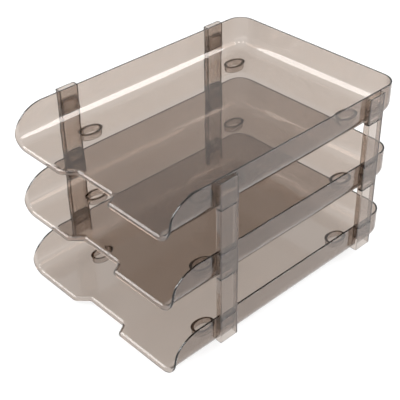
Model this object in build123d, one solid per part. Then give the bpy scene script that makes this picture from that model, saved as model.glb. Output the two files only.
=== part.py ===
from build123d import *
import os

# Three-tier stacking letter tray: three open-front trays joined by eight plug-in risers.
# Millimetres. X to the right, Y to the back, Z up. The origin is on the surface the
# bottom tray stands on, in the middle of its width and depth.

# ---- driving dimensions ----------------------------------------------------------
TRAY_WIDTH = 255.0        # outside of the side walls
TRAY_DEPTH = 358.0        # front edge to the outside of the back wall
TRAY_HEIGHT = 50.0        # underside of the feet to the rim
TIER_PITCH = 89.5         # one tray to the next
WALL = 2.2                # walls and floor
CORNER_R = 21.0           # back corners, outside, in plan
COVE_R = 18.0             # wall into floor, outside
FOOT_H = 8.2              # floor underside above the surface
FOOT_HALF_X = 9.5         # outside of the oval ring foot, across the tray
FOOT_HALF_Y = 14.5        # and along it
FOOT_WALL = 2.2
FOOT_ROOT = 0.5           # how far the ring runs into the floor
FOOT_X = 91.0             # ring feet from the middle of the width

WING_RUN = 41.0           # how far back the side wall starts to fall
WING_DROP = 36.0          # how far it falls before it is plumb
WING_OVER = 0.2           # the falling curve runs out this far past the rim and the front

LIP_BOTTOM = 5.0          # underside of the turned-down front lip
LIP_R = 2.5               # rounding of the front lip's top edge
NOTCH_DEPTH = 13.5        # finger notch in the front edge
NOTCH_LEFT = (-46.0, -32.5)   # left flank: at the front edge, at the back of the notch
NOTCH_RIGHT = (34.5, 27.0)    # right flank: at the front edge, at the back of the notch
NOTCH_R = 6.0             # rounding of its corners in plan

SOCKET_W = 26.0           # outside width along the wall
SOCKET_OUT = 6.9          # how far it stands out from the wall
SOCKET_H = 32.2           # rim down to its open bottom
SOCKET_WALL = 1.6
SOCKET_ROOT = 2.1         # how far its block runs into the wall it stands on
POST_R = 1.2              # upright corners of the sockets and the risers
SOCKET_FRONT_Y = 77.7     # middle of the front sockets behind the front edge
SOCKET_BACK_Y = 310.0     # middle of the back sockets behind the front edge
STOP_Z = 14.6             # stop rib below the rim, at its middle height
STOP_T = 1.2              # height of the stop rib
STOP_DEEP = 0.9           # how far the stop rib stands into the socket

FIT = 0.15                # clearance all round a riser's plug in its socket
END_GAP = 0.3             # plug end to stop rib
RISER_WALL = 1.8          # plate of the riser
RISER_FLANGE = 2.2        # its two side flanges

# ---- derived ---------------------------------------------------------------------
FRONT = -TRAY_DEPTH / 2
BACK = TRAY_DEPTH / 2
HALF_W = TRAY_WIDTH / 2
FLOOR_TOP = FOOT_H + WALL
SOCKET_YS = (FRONT + SOCKET_FRONT_Y, FRONT + SOCKET_BACK_Y)
SOCKET_INNER_W = SOCKET_W - 2 * SOCKET_WALL
RISER_BODY_H = TIER_PITCH - SOCKET_H


def box_between(x0, x1, y0, y1, z0, z1):
    """Plain block given by its six limits."""
    block = Box(x1 - x0, y1 - y0, z1 - z0)
    return Pos((x0 + x1) / 2, (y0 + y1) / 2, (z0 + z1) / 2) * block


def tub(inset, bottom, top, front, cove_r):
    """Block with rounded back corners and a rounded left, back and right bottom edge."""
    half, back = HALF_W - inset, BACK - inset
    block = box_between(-half, half, front, back, bottom, top)
    uprights = block.edges().filter_by(Axis.Z).group_by(Axis.Y)[-1]
    block = fillet(uprights, CORNER_R - inset)
    low = block.edges().group_by(Axis.Z)[0]
    rounded = [e for e in low if e.center().Y > front + 1]
    return fillet(rounded, cove_r)


def front_outline(setback):
    """Plan of everything behind the front edge, moved back by setback, notch included."""
    y0, y1 = FRONT + setback, FRONT + NOTCH_DEPTH + setback
    left_slope = (NOTCH_LEFT[1] - NOTCH_LEFT[0]) / NOTCH_DEPTH
    right_slope = (NOTCH_RIGHT[0] - NOTCH_RIGHT[1]) / NOTCH_DEPTH
    left = setback * ((1 + left_slope ** 2) ** 0.5 - left_slope)
    right = setback * ((1 + right_slope ** 2) ** 0.5 - right_slope)
    far = HALF_W + 20
    points = [
        (-far, y0),
        (NOTCH_LEFT[0] - left, y0),
        (NOTCH_LEFT[1] - left, y1),
        (NOTCH_RIGHT[1] + right, y1),
        (NOTCH_RIGHT[0] + right, y0),
        (far, y0),
        (far, BACK + 20),
        (-far, BACK + 20),
    ]
    face = make_face(Polyline(*points, close=True))
    shoulders = [v for v in face.vertices() if abs(v.Y - y0) < 0.01 and abs(v.X) < HALF_W]
    face = fillet(shoulders, NOTCH_R - setback)
    hollows = [v for v in face.vertices() if abs(v.Y - y1) < 0.01]
    return fillet(hollows, NOTCH_R + setback)


def wing_cutter(rim_z):
    """Takes the front top of both side walls away along a falling quarter ellipse."""
    y1, z0 = FRONT + WING_RUN, rim_z - WING_DROP
    far, high = FRONT - WING_OVER, rim_z + WING_OVER
    curve = EllipticalCenterArc((y1, z0), y1 - far, high - z0, start_angle=90, arc_size=90)
    lines = Polyline((far, z0), (far - 5, z0), (far - 5, high + 5), (y1, high + 5), (y1, high))
    profile = Plane.YZ * make_face([*curve.edges(), *lines.edges()])
    return Pos(-HALF_W - 20, 0, 0) * extrude(profile, 2 * HALF_W + 40, dir=(1, 0, 0))


def front_edges(body):
    """Top edges of the floor along the front and round the notch."""
    picked = []
    for edge in body.edges():
        limits = edge.bounding_box()
        level = abs(limits.min.Z - FLOOR_TOP) < 0.01 and abs(limits.max.Z - FLOOR_TOP) < 0.01
        if level and limits.max.Y < FRONT + NOTCH_DEPTH + 0.5:
            picked.append(edge)
    return picked


def rounded_post(block, side):
    """Rounds the two upright corners of a block that face away from the tray."""
    uprights = block.edges().filter_by(Axis.Z)
    outward = sorted(uprights, key=lambda e: side * e.center().X)[-2:]
    return fillet(outward, POST_R)


def shell():
    """Walls, floor and the turned-down front lip of one tray."""
    top = TRAY_HEIGHT
    outside = tub(0, FOOT_H, top, FRONT, COVE_R)
    inside = tub(WALL, FLOOR_TOP, top + 10, FRONT - 10, COVE_R - WALL)
    deep = tub(0, LIP_BOTTOM, top, FRONT, COVE_R + FOOT_H - LIP_BOTTOM)
    plan = extrude(Pos(0, 0, -5) * front_outline(0), top + 30)
    kept = extrude(Pos(0, 0, -5) * front_outline(WALL), top + 30)
    lip = (deep & plan) - kept
    body = (outside & plan) + lip
    body = body - inside - wing_cutter(top)
    return fillet(front_edges(body), LIP_R)


def socket_shapes(side, y):
    """Outside block, through pocket and stop rib of one socket on a side wall."""
    rim, low = TRAY_HEIGHT, TRAY_HEIGHT - SOCKET_H
    x_wall, x_out = side * (HALF_W - SOCKET_ROOT), side * (HALF_W + SOCKET_OUT)
    x_in, x_face = side * HALF_W, side * (HALF_W + SOCKET_OUT - SOCKET_WALL)
    half = SOCKET_W / 2
    half_in = SOCKET_INNER_W / 2
    outer = box_between(min(x_wall, x_out), max(x_wall, x_out), y - half, y + half, low, rim)
    outer = rounded_post(outer, side)
    pocket = box_between(min(x_in, x_face), max(x_in, x_face), y - half_in, y + half_in, low - 1, rim + 1)
    z_stop = rim - STOP_Z
    ring = box_between(min(x_in, x_face), max(x_in, x_face), y - half_in, y + half_in,
                       z_stop - STOP_T / 2, z_stop + STOP_T / 2)
    x_open = side * (HALF_W + SOCKET_OUT - SOCKET_WALL - STOP_DEEP)
    opening = box_between(min(x_in, x_open), max(x_in, x_open), y - half_in + STOP_DEEP,
                          y + half_in - STOP_DEEP, z_stop - 5, z_stop + 5)
    return outer, pocket, ring - opening


def foot(x, y):
    """Oval ring foot under the floor."""
    outside = Ellipse(FOOT_HALF_X, FOOT_HALF_Y)
    inside = Ellipse(FOOT_HALF_X - FOOT_WALL, FOOT_HALF_Y - FOOT_WALL)
    return Pos(x, y, 0) * extrude(outside - inside, FOOT_H + FOOT_ROOT)


def tray():
    """One complete tray standing on the surface."""
    body = shell()
    for side in (-1, 1):
        for y in SOCKET_YS:
            outer, pocket, stop = socket_shapes(side, y)
            body = body + outer - pocket + stop
            body = body + foot(side * FOOT_X, y)
    return body


def riser(side, y):
    """Riser between the bottom tray and the one above: a body as wide as the sockets,
    a reduced plug at each end, hollow and open towards the tray."""
    low = TRAY_HEIGHT
    high = low + RISER_BODY_H
    x0 = HALF_W + FIT
    x_body = HALF_W + SOCKET_OUT
    x_plug = HALF_W + SOCKET_OUT - SOCKET_WALL - FIT
    half = SOCKET_W / 2
    stop_low = TRAY_HEIGHT - STOP_Z + STOP_T / 2 + END_GAP
    stop_high = TRAY_HEIGHT + TIER_PITCH - STOP_Z - STOP_T / 2 - END_GAP
    plug_half = SOCKET_INNER_W / 2 - FIT
    body = rounded_post(box_between(x0, x_body, y - half, y + half, low, high), 1)
    body = body + box_between(x0, x_plug, y - plug_half, y + plug_half, stop_low, low + 1)
    body = body + box_between(x0, x_plug, y - plug_half, y + plug_half, high - 1, stop_high)
    narrow, wide = plug_half - RISER_FLANGE, half - RISER_FLANGE
    body = body - box_between(x0 - 1, x_plug - RISER_WALL, y - narrow, y + narrow,
                              stop_low + RISER_WALL, stop_high - RISER_WALL)
    body = body - box_between(x0 - 1, x_body - RISER_WALL, y - wide, y + wide,
                              low + RISER_WALL, high - RISER_WALL)
    return body if side > 0 else mirror(body, Plane.YZ)


def lifted(shape, tiers):
    """The same shape so many tiers higher."""
    return Pos(0, 0, tiers * TIER_PITCH) * shape


def save(shape, name):
    """Writes one piece as its own STEP file."""
    solid = shape.solids()
    assert len(solid) == 1, (name, len(solid))
    one = solid[0]
    one.label = name
    export_step(one, os.path.join("parts", name + ".step"))


os.makedirs("parts", exist_ok=True)

one_tray = tray()
for level, name in enumerate(("tray_bottom", "tray_middle", "tray_top")):
    save(lifted(one_tray, level), name)

for level, tier in enumerate(("lower", "upper")):
    for side, hand in ((-1, "left"), (1, "right")):
        for y, place in zip(SOCKET_YS, ("front", "back")):
            save(lifted(riser(side, y), level), "riser_" + tier + "_" + place + "_" + hand)
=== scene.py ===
"""Looks of a three-tier letter tray in smoke-tinted clear plastic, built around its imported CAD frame."""
import math

import bmesh
import bpy
import numpy as np
from mathutils import Matrix, Vector


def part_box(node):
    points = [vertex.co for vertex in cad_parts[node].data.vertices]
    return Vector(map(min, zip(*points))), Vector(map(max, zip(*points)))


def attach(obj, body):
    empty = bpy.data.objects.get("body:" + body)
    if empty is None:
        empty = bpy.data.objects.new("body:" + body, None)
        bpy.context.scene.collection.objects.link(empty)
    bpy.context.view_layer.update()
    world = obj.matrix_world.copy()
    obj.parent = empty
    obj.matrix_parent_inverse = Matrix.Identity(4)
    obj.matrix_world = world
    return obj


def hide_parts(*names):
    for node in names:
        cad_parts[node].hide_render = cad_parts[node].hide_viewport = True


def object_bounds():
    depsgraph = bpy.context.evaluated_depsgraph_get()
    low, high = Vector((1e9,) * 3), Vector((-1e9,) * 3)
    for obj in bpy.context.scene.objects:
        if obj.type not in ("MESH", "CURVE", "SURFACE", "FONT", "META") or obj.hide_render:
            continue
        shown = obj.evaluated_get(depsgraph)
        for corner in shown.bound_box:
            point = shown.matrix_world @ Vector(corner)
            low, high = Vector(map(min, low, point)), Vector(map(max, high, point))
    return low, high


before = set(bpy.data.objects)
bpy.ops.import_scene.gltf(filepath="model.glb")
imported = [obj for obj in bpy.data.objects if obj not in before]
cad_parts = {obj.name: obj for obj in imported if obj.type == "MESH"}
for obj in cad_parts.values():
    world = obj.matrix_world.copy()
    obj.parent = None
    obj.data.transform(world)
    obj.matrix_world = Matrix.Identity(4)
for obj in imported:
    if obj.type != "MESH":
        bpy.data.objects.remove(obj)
CAD_LOW, CAD_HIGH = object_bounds()
CENTRE = (CAD_LOW + CAD_HIGH) / 2

# ---- shape sizes, in millimetres; the places come from the frame ---------------------------
MM = 0.001
TRAY_LOW, TRAY_HIGH = (np.array(corner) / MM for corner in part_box("tray_bottom"))
RISER_LOW, RISER_HIGH = (np.array(corner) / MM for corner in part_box("riser_lower_front_right"))
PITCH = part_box("tray_middle")[0].z / MM - TRAY_LOW[2]
FRONT, BACK, RIM = TRAY_LOW[1], TRAY_HIGH[1], TRAY_HIGH[2]

SHEET = 2.2               # thickness of the moulded sheet
HALF_SHEET = SHEET / 2
SOCKET_OUT = 6.9          # how far a socket stands out from the wall
HALF_W = TRAY_HIGH[0] - SOCKET_OUT
COVE_R = 18.0             # wall into floor, outside
PLAN_R = 3.0              # plan radius of the back corners at the start of the cove
FLOOR_MID = 9.3           # middle of the floor's thickness above the surface
COVE_MID = COVE_R - HALF_SHEET
COVE_LENGTH = COVE_MID * math.pi / 2
COVE_Z = FLOOR_MID + COVE_MID
TOP_Q = COVE_LENGTH + RIM - COVE_Z      # from the foot of the cove up the wall to the rim

WING_RUN = 41.0           # the side wall falls to the front over this length
WING_DROP = 36.0          # and by this height
WING_END = FRONT + 70.0   # behind it the side wall has one height
ROLL_R = 4.9              # outside radius of the rolled-down front edge
EDGE_R = 0.4              # rounding of every free edge
NOTCH_DEPTH = 13.5
NOTCH_CORNERS = (-46.0, -32.5, 27.0, 34.5)   # left flank, right flank, in X
NOTCH_R = 6.0

FOOT_X = 91.0
FOOT_HALF = (9.5, 14.5)   # oval ring foot, across and along the tray
FOOT_WALL = 1.6           # a little thinner than the solid's, as its outline in the floor is faint
SOCKET_W = 26.0
SOCKET_H = 32.2
SOCKET_WALL = 1.6
SOCKET_YS = (FRONT + 77.7, FRONT + 310.0)
POST_R = 1.2
STOP_Z = 14.6             # stop rib below the rim
STOP_T = 1.2
STOP_DEEP = 0.9
PLUG_GAP = 0.15
RISER_WALL = 1.8
RISER_FLANGE = 2.2


# ---- the moulded sheet ---------------------------------------------------------------------
def length_at(z):
    """How far up the sheet's section, from the foot of the cove, the height z is."""
    if z >= COVE_Z:
        return COVE_LENGTH + z - COVE_Z
    return COVE_MID * math.acos((COVE_Z - z) / COVE_MID)


def section(plan, outward, q):
    """Middle point, normal and upward direction of the wall at q above the foot of its cove."""
    turn = min(q / COVE_LENGTH, 1) * math.pi / 2
    away = np.array((*outward, 0.0))
    up = np.array((0, 0, 1.0))
    point = np.array((*plan, COVE_Z - COVE_MID * math.cos(turn) + max(q - COVE_LENGTH, 0)))
    point = point + away * COVE_MID * math.sin(turn)
    normal = up * math.cos(turn) - away * math.sin(turn)
    return point, normal, away * math.cos(turn) + up * math.sin(turn)


def smooth_step(x, start, end):
    t = min(max((x - start) / (end - start), 0), 1)
    return t * t * (3 - 2 * t)


def reach(roll):
    """How far the rolled edge stands out past the last flat line of the sheet."""
    return ROLL_R * math.sin(roll) + straight_after(roll) * math.cos(roll)


def straight_after(roll):
    """Straight length at the end of an edge rolled by that angle."""
    return EDGE_R + 1.9 * math.cos(roll)


def wing_outline(low_count, high_count):
    """Side wall's free edge in (y, q): samples up the front and then back along the rim.
    Each is (y, q, outward y, outward q, roll angle)."""
    base = RIM - WING_DROP
    line = [(FRONT, q) for q in np.linspace(0, length_at(base), 20, endpoint=False)]
    for t in np.linspace(0, math.pi / 2, 160):
        line.append((FRONT + WING_RUN * (1 - math.cos(t)), length_at(base + WING_DROP * math.sin(t))))
    line += [(y, TOP_Q) for y in np.linspace(FRONT + WING_RUN, WING_END, 30)[1:]]
    line = np.array(line)
    steps = np.linalg.norm(np.diff(line, axis=0), axis=1)
    run = np.concatenate([[0], np.cumsum(steps)])
    split = run[20 + 80]
    places = np.concatenate([np.linspace(0, split, low_count + 1),
                             np.linspace(split, run[-1], high_count + 1)[1:]])
    rows = []
    for s in places:
        y, q = (np.interp(s, run, line[:, k]) for k in (0, 1))
        ahead, behind = min(s + 0.4, run[-1]), max(s - 0.4, 0)
        along = np.array([np.interp(ahead, run, line[:, k]) - np.interp(behind, run, line[:, k])
                          for k in (0, 1)])
        along /= np.linalg.norm(along)
        roll = math.pi / 2 * (1 - smooth_step(s, 8, split - 2))
        rows.append((y, q, -along[1], along[0], roll))
    return rows


def rounded_path(points, radius, arc_steps, longest):
    """Open plan path with its inner corners rounded and its straights divided."""
    points = [np.array(p, float) for p in points]
    path = [points[0]]
    for before, corner, after in zip(points, points[1:], points[2:]):
        a = (before - corner) / np.linalg.norm(before - corner)
        b = (after - corner) / np.linalg.norm(after - corner)
        half = math.acos(float(np.clip(a @ b, -1, 1))) / 2
        middle = corner + (a + b) / np.linalg.norm(a + b) * radius / math.sin(half)
        start = corner + a * radius / math.tan(half) - middle
        end = corner + b * radius / math.tan(half) - middle
        for t in np.linspace(0, 1, arc_steps + 1):
            ray = start * (1 - t) + end * t
            path.append(middle + ray / np.linalg.norm(ray) * radius)
    path.append(points[-1])
    divided = [path[0]]
    for p, q in zip(path, path[1:]):
        parts = max(1, math.ceil(np.linalg.norm(q - p) / longest))
        divided += [p + (q - p) * k / parts for k in range(1, parts + 1)]
    return divided


def front_path():
    """Front edge of the floor in plan, from left to right: (inset point, outward direction)."""
    side = HALF_W - COVE_R - PLAN_R
    y0, y1 = FRONT, FRONT + NOTCH_DEPTH
    a, b, c, d = NOTCH_CORNERS
    line = rounded_path([(-side, y0), (a, y0), (b, y1), (c, y1), (d, y0), (side, y0)], NOTCH_R, 7, 7)
    rows = []
    for k, point in enumerate(line):
        along = line[min(k + 1, len(line) - 1)] - line[max(k - 1, 0)]
        along /= np.linalg.norm(along)
        outward = np.array((along[1], -along[0]))
        rows.append((point - outward * reach(math.pi / 2), outward))
    return rows


class Sheet:
    """A thin moulded sheet: points on its middle surface, with normals, and faces between them."""

    def __init__(self):
        self.points, self.normals, self.faces = [], [], []

    def add(self, point, normal):
        self.points.append(np.array(point, float))
        self.normals.append(np.array(normal, float))
        return len(self.points) - 1

    def grid(self, rows):
        """Faces between neighbouring rows of point numbers of the same length."""
        for low, high in zip(rows, rows[1:]):
            for k in range(len(low) - 1):
                self.faces.append((low[k], low[k + 1], high[k + 1], high[k]))

    def closed(self, rim):
        """Both skins of the sheet and a rounded edge round its one free border."""
        count = len(self.points)
        mid, normal = np.array(self.points), np.array(self.normals)
        verts = list(mid + normal * HALF_SHEET) + list(mid - normal * HALF_SHEET)
        faces = list(self.faces) + [tuple(k + count for k in reversed(f)) for f in self.faces]
        quarter = [math.radians(a) for a in (30, 60, 90)]
        flat = HALF_SHEET - EDGE_R
        ring = [(EDGE_R * math.sin(a), flat + EDGE_R * math.cos(a)) for a in quarter]
        ring += [(t, -n) for t, n in reversed(ring)]
        border = []
        for last, end, out, up in rim:
            start = len(verts)
            verts += [end + out * (t - EDGE_R) + up * n for t, n in ring]
            border.append([last, *range(start, start + len(ring)), last + count])
        for a, b in zip(border, border[1:] + border[:1]):
            faces += [(a[k], b[k], b[k + 1], a[k + 1]) for k in range(len(a) - 1)]
        return np.array(verts), faces


def coons(left, right, low, high):
    """Points between four border lines of (y, q), by transfinite interpolation."""
    n, m = len(low), len(left)
    out = np.zeros((n, m, 2))
    for i in range(n):
        a = i / (n - 1)
        for j in range(m):
            b = j / (m - 1)
            out[i, j] = ((1 - a) * left[j] + a * right[j] + (1 - b) * low[i] + b * high[i]
                         - (1 - a) * (1 - b) * left[0] - (1 - a) * b * left[-1]
                         - a * (1 - b) * right[0] - a * b * right[-1])
    return out


def tray_shell():
    """Floor, coves, walls and rolled front edge as one closed mesh."""
    cove_steps, wall_steps, wing_steps, arc_steps = 12, 5, 22, 10
    levels = cove_steps + wall_steps
    wing = wing_outline(levels, wing_steps)
    inset = np.array([(y - oy * reach(r), q - oq * reach(r)) for y, q, oy, oq, r in wing])
    top = TOP_Q - reach(0)
    level_q = np.concatenate([np.linspace(0, COVE_LENGTH, cove_steps + 1),
                              np.linspace(COVE_LENGTH, top, wall_steps + 1)[1:]])
    share = np.linspace(0, 1, wing_steps + 1)
    low = np.array([(inset[0][0] * (1 - s) + WING_END * s, 0) for s in share])
    patch = coons(inset[:levels + 1], np.array([(WING_END, q) for q in level_q]), low, inset[levels:])

    cove_x, cove_y = HALF_W - COVE_R, BACK - COVE_R
    arc_y = cove_y - PLAN_R
    straight = np.linspace(WING_END, arc_y, 18)[1:]
    front = front_path()
    columns = [p[0] for p, _ in front]
    sheet = Sheet()

    def wall_column(plan, outward, heights):
        made = [section(plan, outward, q) for q in heights]
        return [sheet.add(p, n) for p, n, _ in made]

    def side_columns(side):
        made = []
        for row in patch:
            column = [section((side * cove_x, y), (side, 0), q) for y, q in row]
            made.append([sheet.add(p, n) for p, n, _ in column])
        return made + [wall_column((side * cove_x, y), (side, 0), level_q) for y in straight]

    def corner_columns(side):
        made = []
        for t in np.linspace(0, math.pi / 2, arc_steps + 1)[1:-1]:
            out = (side * math.cos(t), math.sin(t))
            plan = (side * (cove_x - PLAN_R) + PLAN_R * out[0], arc_y + PLAN_R * out[1])
            made.append(wall_column(plan, out, level_q))
        return made

    left, right = side_columns(-1), side_columns(1)
    left_corner, right_corner = corner_columns(-1), corner_columns(1)
    back = [wall_column((x, cove_y), (0, 1), level_q) for x in columns]
    band = left + left_corner + back + right_corner[::-1] + right[::-1]
    sheet.grid(band)

    up = (0, 0, 1)
    floor = []
    for s in share:
        floor.append([sheet.add((x, p[1] * (1 - s) + WING_END * s, FLOOR_MID), up)
                      for x, (p, _) in zip(columns, front)])
    for y in straight:
        floor.append([sheet.add((x, y, FLOOR_MID), up) for x in columns])
    full = [[a[0], *row, b[0]] for a, row, b in zip(left, floor, right)]
    sheet.grid(full)
    sheet.grid([floor[-1], [c[0] for c in back]])
    for centre, start, corner, end in ((floor[-1][0], left[-1], left_corner, back[0]),
                                       (floor[-1][-1], right[-1], right_corner, back[-1])):
        fan = [start[0], *[c[0] for c in corner], end[0]]
        sheet.faces += [(centre, a, b) for a, b in zip(fan, fan[1:])]

    def wing_border(columns_of_side, side):
        """Free border of one side wall: (point number, outward direction, roll angle)."""
        numbers = [columns_of_side[0][k] for k in range(levels + 1)]
        numbers += [c[-1] for c in columns_of_side[1:wing_steps + 1]]
        rows = []
        for number, (_, _, oy, oq, roll), (_, q) in zip(numbers, wing, inset):
            _, _, rise = section((0, 0), (side, 0), q)
            rows.append((number, oy * np.array((0, 1.0, 0)) + oq * rise, roll))
        return rows

    upright = np.array((0, 0, 1.0))
    rim_columns = left[wing_steps + 1:] + left_corner + back + right_corner[::-1]
    rim_columns += right[:wing_steps:-1]
    border = [(n, np.array((*out, 0.0)), math.pi / 2) for n, (_, out) in zip(floor[0], front)]
    border += wing_border(right, 1)
    border += [(c[-1], upright, 0.0) for c in rim_columns[::-1]]
    border += wing_border(left, -1)[::-1]
    return rolled(sheet, border)


def rolled(sheet, border):
    """Adds the rolled strip along the sheet's free border, and closes it."""
    steps = 6
    radius = ROLL_R - HALF_SHEET
    rows, rim = [], []
    for number, outward, roll in border:
        point, normal = sheet.points[number], sheet.normals[number]
        total = radius * roll + straight_after(roll)

        def at(length):
            turn = min(length / radius, roll) if roll > 0 else 0.0
            out = outward * math.cos(turn) - normal * math.sin(turn)
            here = point + outward * radius * math.sin(turn) - normal * radius * (1 - math.cos(turn))
            return (here + out * (length - radius * turn), out,
                    normal * math.cos(turn) + outward * math.sin(turn))

        strip = [number]
        for k in range(1, steps + 1):
            place, _, up = at((total - EDGE_R) * k / steps)
            strip.append(sheet.add(place, up))
        rows.append(strip)
        rim.append((strip[-1], *at(total)))
    sheet.grid(rows + rows[:1])
    return sheet.closed(rim)


# ---- sockets, feet and risers --------------------------------------------------------------
def set_in(outline, by):
    """A closed plan outline moved inwards."""
    moved = []
    count = len(outline)
    for k in range(count):
        before = outline[k] - outline[k - 1]
        after = outline[(k + 1) % count] - outline[k]
        n1 = np.array((-before[1], before[0])) / np.linalg.norm(before)
        n2 = np.array((-after[1], after[0])) / np.linalg.norm(after)
        moved.append(outline[k] + (n1 + n2) / (1 + n1 @ n2) * by)
    return moved


def prism(outline, z0, z1, edge):
    """Upright block with that plan outline, counter-clockwise, and rounded end edges."""
    turns = [math.radians(a) for a in (0, 30, 60, 90)]
    low = [(edge * (1 - math.sin(a)), z0 + edge * (1 - math.cos(a))) for a in turns]
    high = [(inset, z1 - (z - z0)) for inset, z in reversed(low)]
    verts, faces = [], []
    count = len(outline)
    rings = low + high
    for inset, z in rings:
        verts += [(*p, z) for p in set_in(outline, inset)]
    for r in range(len(rings) - 1):
        for k in range(count):
            a, b = r * count + k, r * count + (k + 1) % count
            faces.append((a, b, b + count, a + count))
    faces.append(tuple(reversed(range(count))))
    faces.append(tuple(range(len(verts) - count, len(verts))))
    return np.array(verts), faces


def channel(x_in, x_out, half, web, flange, round_out, round_in):
    """Plan outline of a channel open towards the tray, on the right-hand side of the tray."""
    corners = [(x_in, -half, 0), (x_out, -half, round_out), (x_out, half, round_out), (x_in, half, 0),
               (x_in, half - flange, 0), (x_out - web, half - flange, round_in),
               (x_out - web, flange - half, round_in), (x_in, flange - half, 0)]
    return with_round_corners(corners)


def block(x_in, x_out, half, round_out):
    """Plan outline of a solid block on the right-hand side of the tray."""
    return with_round_corners([(x_in, -half, 0), (x_out, -half, round_out), (x_out, half, round_out),
                               (x_in, half, 0)])


def with_round_corners(corners):
    points = [np.array(c[:2], float) for c in corners]
    outline = []
    for k, (_, _, radius) in enumerate(corners):
        before, here, after = points[k - 1], points[k], points[(k + 1) % len(points)]
        if radius == 0:
            outline.append(here)
            continue
        a = (before - here) / np.linalg.norm(before - here)
        b = (after - here) / np.linalg.norm(after - here)
        middle = here + (a + b) * radius
        for t in np.linspace(0, 1, 6):
            ray = -b * (1 - t) - a * t
            outline.append(middle + ray / np.linalg.norm(ray) * radius)
    return outline


def placed(shape, side=1, y=0.0, z=0.0):
    """The same shape moved, and mirrored for the left-hand side."""
    verts, faces = shape
    verts = verts * (side, 1, 1) + (0, y, z)
    return verts, faces if side > 0 else [tuple(reversed(f)) for f in faces]


def merged(shapes):
    """Several separate shapes as one list of points and faces."""
    verts, faces = [], []
    for v, f in shapes:
        faces += [tuple(k + len(verts) for k in face) for face in f]
        verts += list(v)
    return verts, faces


def foot():
    """Oval ring foot that flares a little where it meets the floor."""
    top = FLOOR_MID
    half = FOOT_WALL / 2
    profile = [(-half, 0.5), (-half + 0.15, 0.15), (-half + 0.5, 0), (half - 0.5, 0), (half - 0.15, 0.15),
               (half, 0.5), (half, 5.6), (half + 0.15, 6.9), (half + 0.6, 7.8), (half + 1.3, 8.4),
               (half + 1.3, top), (-half - 1.3, top), (-half - 1.3, 8.4), (-half - 0.6, 7.8),
               (-half - 0.15, 6.9), (-half, 5.6)]
    around = 48
    middle = [h - half for h in FOOT_HALF]
    verts, faces = [], []
    for k in range(around):
        t = 2 * math.pi * k / around
        out = np.array((math.cos(t) / middle[0], math.sin(t) / middle[1]))
        out /= np.linalg.norm(out)
        for r, z in profile:
            verts.append((middle[0] * math.cos(t) + out[0] * r, middle[1] * math.sin(t) + out[1] * r, z))
    count = len(profile)
    for k in range(around):
        a, b = k * count, (k + 1) % around * count
        for j in range(count):
            n = (j + 1) % count
            faces.append((a + j, a + n, b + n, b + j))
    return np.array(verts), faces


def socket_parts():
    """Socket sleeves and the stop ribs inside them, for the four posts."""
    seam = 0.2
    sleeve = prism(channel(HALF_W - HALF_SHEET, HALF_W + SOCKET_OUT, SOCKET_W / 2, SOCKET_WALL, SOCKET_WALL,
                           POST_R, 0.5), RIM - SOCKET_H, RIM - seam, 0.45)
    inner = SOCKET_W / 2 - SOCKET_WALL
    x_face = HALF_W + SOCKET_OUT - SOCKET_WALL
    into = 0.6                # how far the rib runs into the sleeve
    deep = STOP_DEEP + into
    rib = prism(channel(HALF_W - 0.8, x_face + into, inner + into, deep, deep, 0.3, 0.3),
                RIM - STOP_Z - STOP_T / 2, RIM - STOP_Z + STOP_T / 2, 0.25)
    places = [(side, y) for side in (-1, 1) for y in SOCKET_YS]
    return ([placed(sleeve, side, y) for side, y in places], [placed(rib, side, y) for side, y in places])


def riser_shape():
    """Riser of the lower tier on the right-hand side: channel body with a plug at each end."""
    x_in, x_body = HALF_W + PLUG_GAP, HALF_W + SOCKET_OUT
    x_plug = x_body - SOCKET_WALL - PLUG_GAP
    low, high = RIM, RIM + PITCH - SOCKET_H
    half, plug_half = SOCKET_W / 2, SOCKET_W / 2 - SOCKET_WALL - PLUG_GAP
    gap, lap = 0.1, 1.0
    z0, z1 = RISER_LOW[2], RISER_HIGH[2]
    body = prism(channel(x_in, x_body, half, RISER_WALL, RISER_FLANGE, POST_R, 0.6),
                 low + gap, high - gap, 0.35)
    plug = channel(x_in + 0.05, x_plug, plug_half, RISER_WALL, RISER_FLANGE, 0.5, 0.4)
    cap = block(x_in + 0.1, x_plug - 0.7, plug_half - 0.7, 0.2)
    shoulder = block(x_in + 0.1, x_body - 0.7, half - 0.7, 0.5)
    return [body,
            [prism(plug, z0, low + RISER_WALL, 0.3), prism(plug, high - RISER_WALL, z1, 0.3)],
            [prism(cap, z0 + 0.12, z0 + RISER_WALL, 0.2), prism(cap, z1 - RISER_WALL, z1 - 0.12, 0.2),
             prism(shoulder, low + gap + 0.12, low + RISER_WALL + 0.3, 0.2),
             prism(shoulder, high - RISER_WALL - 0.3, high - gap - 0.12, 0.2)]]


# ---- meshes --------------------------------------------------------------------------------
def new_object(name, shape):
    """A Blender object from points in millimetres and faces."""
    verts, faces = shape
    mesh = bpy.data.meshes.new(name)
    mesh.from_pydata([tuple(float(c) * MM for c in v) for v in verts], [], faces)
    work = bmesh.new()
    work.from_mesh(mesh)
    bmesh.ops.recalc_face_normals(work, faces=work.faces)
    work.to_mesh(mesh)
    work.free()
    made = bpy.data.objects.new(name, mesh)
    bpy.context.scene.collection.objects.link(made)
    return made


def fused(name, base, *groups):
    """One closed mesh: the base with each group of separate shapes joined on by a union."""
    made = new_object(name, base)
    helpers = []
    for number, group in enumerate(groups):
        helper = new_object(f"{name}_{number}", merged(group))
        helpers.append(helper)
        union = made.modifiers.new("union", "BOOLEAN")
        union.operation = "UNION"
        union.solver = "EXACT"
        union.object = helper
    bpy.context.view_layer.update()
    graph = bpy.context.evaluated_depsgraph_get()
    mesh = bpy.data.meshes.new_from_object(made.evaluated_get(graph))
    for old in (made, *helpers):
        bpy.data.objects.remove(old)
    mesh.shade_smooth()
    mesh.set_sharp_from_angle(angle=math.radians(35))
    mesh.name = name
    return mesh


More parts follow.
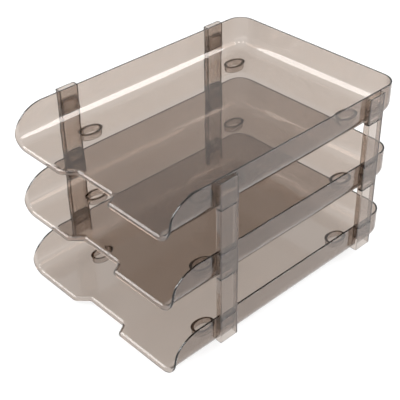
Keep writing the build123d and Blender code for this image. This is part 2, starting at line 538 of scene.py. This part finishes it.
def piece(name, mesh, body, node, material, lift=0.0):
    """A visible piece that stands for one CAD node."""
    made = bpy.data.objects.new(name, mesh)
    bpy.context.scene.collection.objects.link(made)
    made.location.z = lift * MM
    made.data.materials.clear()
    made.data.materials.append(material)
    even = made.modifiers.new("even_normals", "WEIGHTED_NORMAL")
    even.keep_sharp = True
    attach(made, body)
    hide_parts(node)
    return made


# ---- materials -----------------------------------------------------------------------------
TRAY_DENSITY = 370.0      # absorption per metre of the most absorbed colour
SMOKE = (0.28, 0.125, 0.0)      # share of each colour that is spared
REFRACTION = 1.5
COAT = 0.5                # soft sheen of the handled surface
COAT_ROUGHNESS = 0.13
FLOW_SCALE = 14           # slow waves in the surface, from moulding
FLOW_STRENGTH, FLOW_HEIGHT = 0.06, 0.002
SCUFF_SCALE = 60          # fine scuffs, which only change the gloss
SCUFF_RANGE = (0.35, 0.75)
ROUGHNESS_RANGE = (0.0, 0.04)
PALE_TINT = (0.96, 0.95, 0.94)


def new_material(name):
    """An empty node material with its output node."""
    material = bpy.data.materials.new(name)
    material.use_nodes = True
    tree = material.node_tree
    tree.nodes.clear()
    return material, tree, tree.nodes.new("ShaderNodeOutputMaterial")


def smoke_plastic(name, density):
    """Clear plastic with a brown smoke tint all through it, faintly wavy and finely scuffed."""
    material, tree, out = new_material(name)
    node, link = tree.nodes.new, tree.links.new
    skin = node("ShaderNodeBsdfPrincipled")
    skin.inputs["Transmission Weight"].default_value = 1
    skin.inputs["IOR"].default_value = REFRACTION
    skin.inputs["Coat Weight"].default_value = COAT
    skin.inputs["Coat Roughness"].default_value = COAT_ROUGHNESS
    place = node("ShaderNodeTexCoord")
    flow = node("ShaderNodeTexNoise")
    flow.inputs["Scale"].default_value = FLOW_SCALE
    flow.inputs["Detail"].default_value = 1
    link(place.outputs["Object"], flow.inputs["Vector"])
    bump = node("ShaderNodeBump")
    bump.inputs["Strength"].default_value = FLOW_STRENGTH
    bump.inputs["Distance"].default_value = FLOW_HEIGHT
    link(flow.outputs["Fac"], bump.inputs["Height"])
    link(bump.outputs["Normal"], skin.inputs["Normal"])
    scuff = node("ShaderNodeTexNoise")
    scuff.inputs["Scale"].default_value = SCUFF_SCALE
    scuff.inputs["Detail"].default_value = 6
    link(place.outputs["Object"], scuff.inputs["Vector"])
    gloss = node("ShaderNodeMapRange")
    gloss.inputs["From Min"].default_value = SCUFF_RANGE[0]
    gloss.inputs["From Max"].default_value = SCUFF_RANGE[1]
    gloss.inputs["To Min"].default_value = ROUGHNESS_RANGE[0]
    gloss.inputs["To Max"].default_value = ROUGHNESS_RANGE[1]
    link(scuff.outputs["Fac"], gloss.inputs["Value"])
    link(gloss.outputs["Result"], skin.inputs["Roughness"])
    tint = node("ShaderNodeValToRGB")
    tint.color_ramp.elements[0].color = (*PALE_TINT, 1)
    tint.color_ramp.elements[1].color = (1, 1, 1, 1)
    link(flow.outputs["Fac"], tint.inputs["Fac"])
    link(tint.outputs["Color"], skin.inputs["Base Color"])
    inside = node("ShaderNodeVolumeAbsorption")
    inside.inputs["Color"].default_value = (*SMOKE, 1)
    inside.inputs["Density"].default_value = density
    link(skin.outputs[0], out.inputs["Surface"])
    link(inside.outputs[0], out.inputs["Volume"])
    return material


# ---- surroundings --------------------------------------------------------------------------
CAMERA_AZIMUTH = math.radians(47.15)
CAMERA_ELEVATION = math.radians(35.5)
CAMERA_ROLL = math.radians(-0.98)
CAMERA_DISTANCE = 1.114
CAMERA_AIM = Vector((0.0014, -0.0186, -0.0193))   # from the middle of the object
CAMERA_LENS = 84.34


def make_camera():
    """The camera at the photograph's viewing angle."""
    across = math.cos(CAMERA_ELEVATION)
    back = Vector((math.sin(CAMERA_AZIMUTH) * across, -math.cos(CAMERA_AZIMUTH) * across,
                   math.sin(CAMERA_ELEVATION)))
    right = Vector((0, 0, 1)).cross(back).normalized()
    up = back.cross(right)
    turned_right = right * math.cos(CAMERA_ROLL) + up * math.sin(CAMERA_ROLL)
    turned_up = up * math.cos(CAMERA_ROLL) - right * math.sin(CAMERA_ROLL)
    data = bpy.data.cameras.new("camera")
    data.lens = CAMERA_LENS
    data.clip_start = 0.05
    data.clip_end = 30
    camera = bpy.data.objects.new("camera", data)
    place = CENTRE + CAMERA_AIM + back * CAMERA_DISTANCE
    camera.matrix_world = Matrix.Translation(place) @ Matrix(
        (turned_right, turned_up, back)).transposed().to_4x4()
    bpy.context.scene.collection.objects.link(camera)
    bpy.context.scene.camera = camera


FLOOR_WHITE = 0.3
FLOOR_HALF = 4
FLOOR_GAP = 0.0003        # floor surface below the feet
FLOOR_GLOW = 0.8          # even glow of the floor, which lifts the shadow of the trays


def pale_floor():
    """A wide plain white floor, the same all over."""
    material, tree, out = new_material("pale_floor")
    node, link = tree.nodes.new, tree.links.new
    paint = node("ShaderNodeBsdfDiffuse")
    paint.inputs["Color"].default_value = (FLOOR_WHITE, FLOOR_WHITE, FLOOR_WHITE, 1)
    glow = node("ShaderNodeEmission")
    glow.inputs["Strength"].default_value = FLOOR_GLOW
    both = node("ShaderNodeAddShader")
    link(paint.outputs[0], both.inputs[0])
    link(glow.outputs[0], both.inputs[1])
    link(both.outputs[0], out.inputs["Surface"])
    mesh = bpy.data.meshes.new("floor")
    corners = [(x * FLOOR_HALF, y * FLOOR_HALF, 0) for x, y in ((-1, -1), (1, -1), (1, 1), (-1, 1))]
    mesh.from_pydata(corners, [], [(0, 1, 2, 3)])
    mesh.materials.append(material)
    floor = bpy.data.objects.new("floor", mesh)
    floor.location.z = CAD_LOW.z - FLOOR_GAP
    bpy.context.scene.collection.objects.link(floor)


SKY_LOW, SKY_HIGH = 1.3, 0.6     # brightness at the horizon, and overhead
SKY_TOP = 0.6                    # sine of the elevation where it stops falling


def world_light():
    """Soft white light from all round, a little dimmer overhead."""
    world = bpy.data.worlds.new("world")
    world.use_nodes = True
    bpy.context.scene.world = world
    tree = world.node_tree
    node, link = tree.nodes.new, tree.links.new
    back = tree.nodes["Background"]
    back.inputs["Color"].default_value = (1, 1, 1, 1)
    place, split = node("ShaderNodeTexCoord"), node("ShaderNodeSeparateXYZ")
    sky = node("ShaderNodeMapRange")
    sky.interpolation_type = "SMOOTHSTEP"
    sky.inputs["From Max"].default_value = SKY_TOP
    sky.inputs["To Min"].default_value = SKY_LOW
    sky.inputs["To Max"].default_value = SKY_HIGH
    link(place.outputs["Generated"], split.inputs["Vector"])
    link(split.outputs["Z"], sky.inputs["Value"])
    link(sky.outputs["Result"], back.inputs["Strength"])


LAMPS = (
    # azimuth, elevation, distance, width, height, radiance: seen from the middle of the object
    (135, 38, 1.6, 0.9, 1.0, 6.0),
    (-45, 36, 1.6, 0.9, 1.0, 5.0),
    (14, 53, 1.6, 0.2, 0.6, 5.0),
    (72, 53, 1.6, 0.2, 0.6, 5.0),
)


def softboxes():
    """Lamps whose reflections run along the coves and down the corners."""
    for azimuth, elevation, distance, width, height, radiance in LAMPS:
        a, e = math.radians(azimuth), math.radians(elevation)
        ray = Vector((math.sin(a) * math.cos(e), -math.cos(a) * math.cos(e), math.sin(e)))
        data = bpy.data.lights.new("softbox", "AREA")
        data.shape = "RECTANGLE"
        data.size, data.size_y = width, height
        data.energy = radiance * math.pi * width * height
        lamp = bpy.data.objects.new("softbox", data)
        lamp.location = CENTRE + ray * distance
        lamp.rotation_mode = "QUATERNION"
        lamp.rotation_quaternion = ray.to_track_quat("Z", "Y")
        bpy.context.scene.collection.objects.link(lamp)


# ---- the scene -----------------------------------------------------------------------------
make_camera()
pale_floor()
world_light()
softboxes()

tray_plastic = smoke_plastic("smoke_tray", TRAY_DENSITY)
riser_plastic = smoke_plastic("smoke_riser", TRAY_DENSITY)

sleeves, ribs = socket_parts()
feet = [placed(foot(), 1, y) for y in SOCKET_YS]
feet = [(v + (side * FOOT_X, 0, 0), f) for v, f in feet for side in (-1, 1)]
tray_mesh = fused("tray", tray_shell(), sleeves, ribs, feet)
for tier, level in enumerate(("bottom", "middle", "top")):
    piece(f"moulded_tray_{level}", tray_mesh, f"{level}_tray", f"tray_{level}",
          tray_plastic, tier * PITCH)

body, plugs, plates = riser_shape()
for tier, level in enumerate(("lower", "upper")):
    for side, hand in ((-1, "left"), (1, "right")):
        for y, place in zip(SOCKET_YS, ("front", "back")):
            shapes = [[placed(s, side, y) for s in group] for group in ([body], plugs, plates)]
            mesh = fused(f"post_{level}_{place}_{hand}", shapes[0][0], shapes[1], shapes[2])
            piece(f"post_{level}_{place}_{hand}", mesh, f"{level}_risers",
                  f"riser_{level}_{place}_{hand}", riser_plastic, tier * PITCH)

scene = bpy.context.scene
scene.view_settings.view_transform = "Standard"
scene.cycles.max_bounces = 48
scene.cycles.transmission_bounces = 48
scene.cycles.glossy_bounces = 12
scene.cycles.use_denoising = True
scene.cycles.sample_clamp_indirect = 2
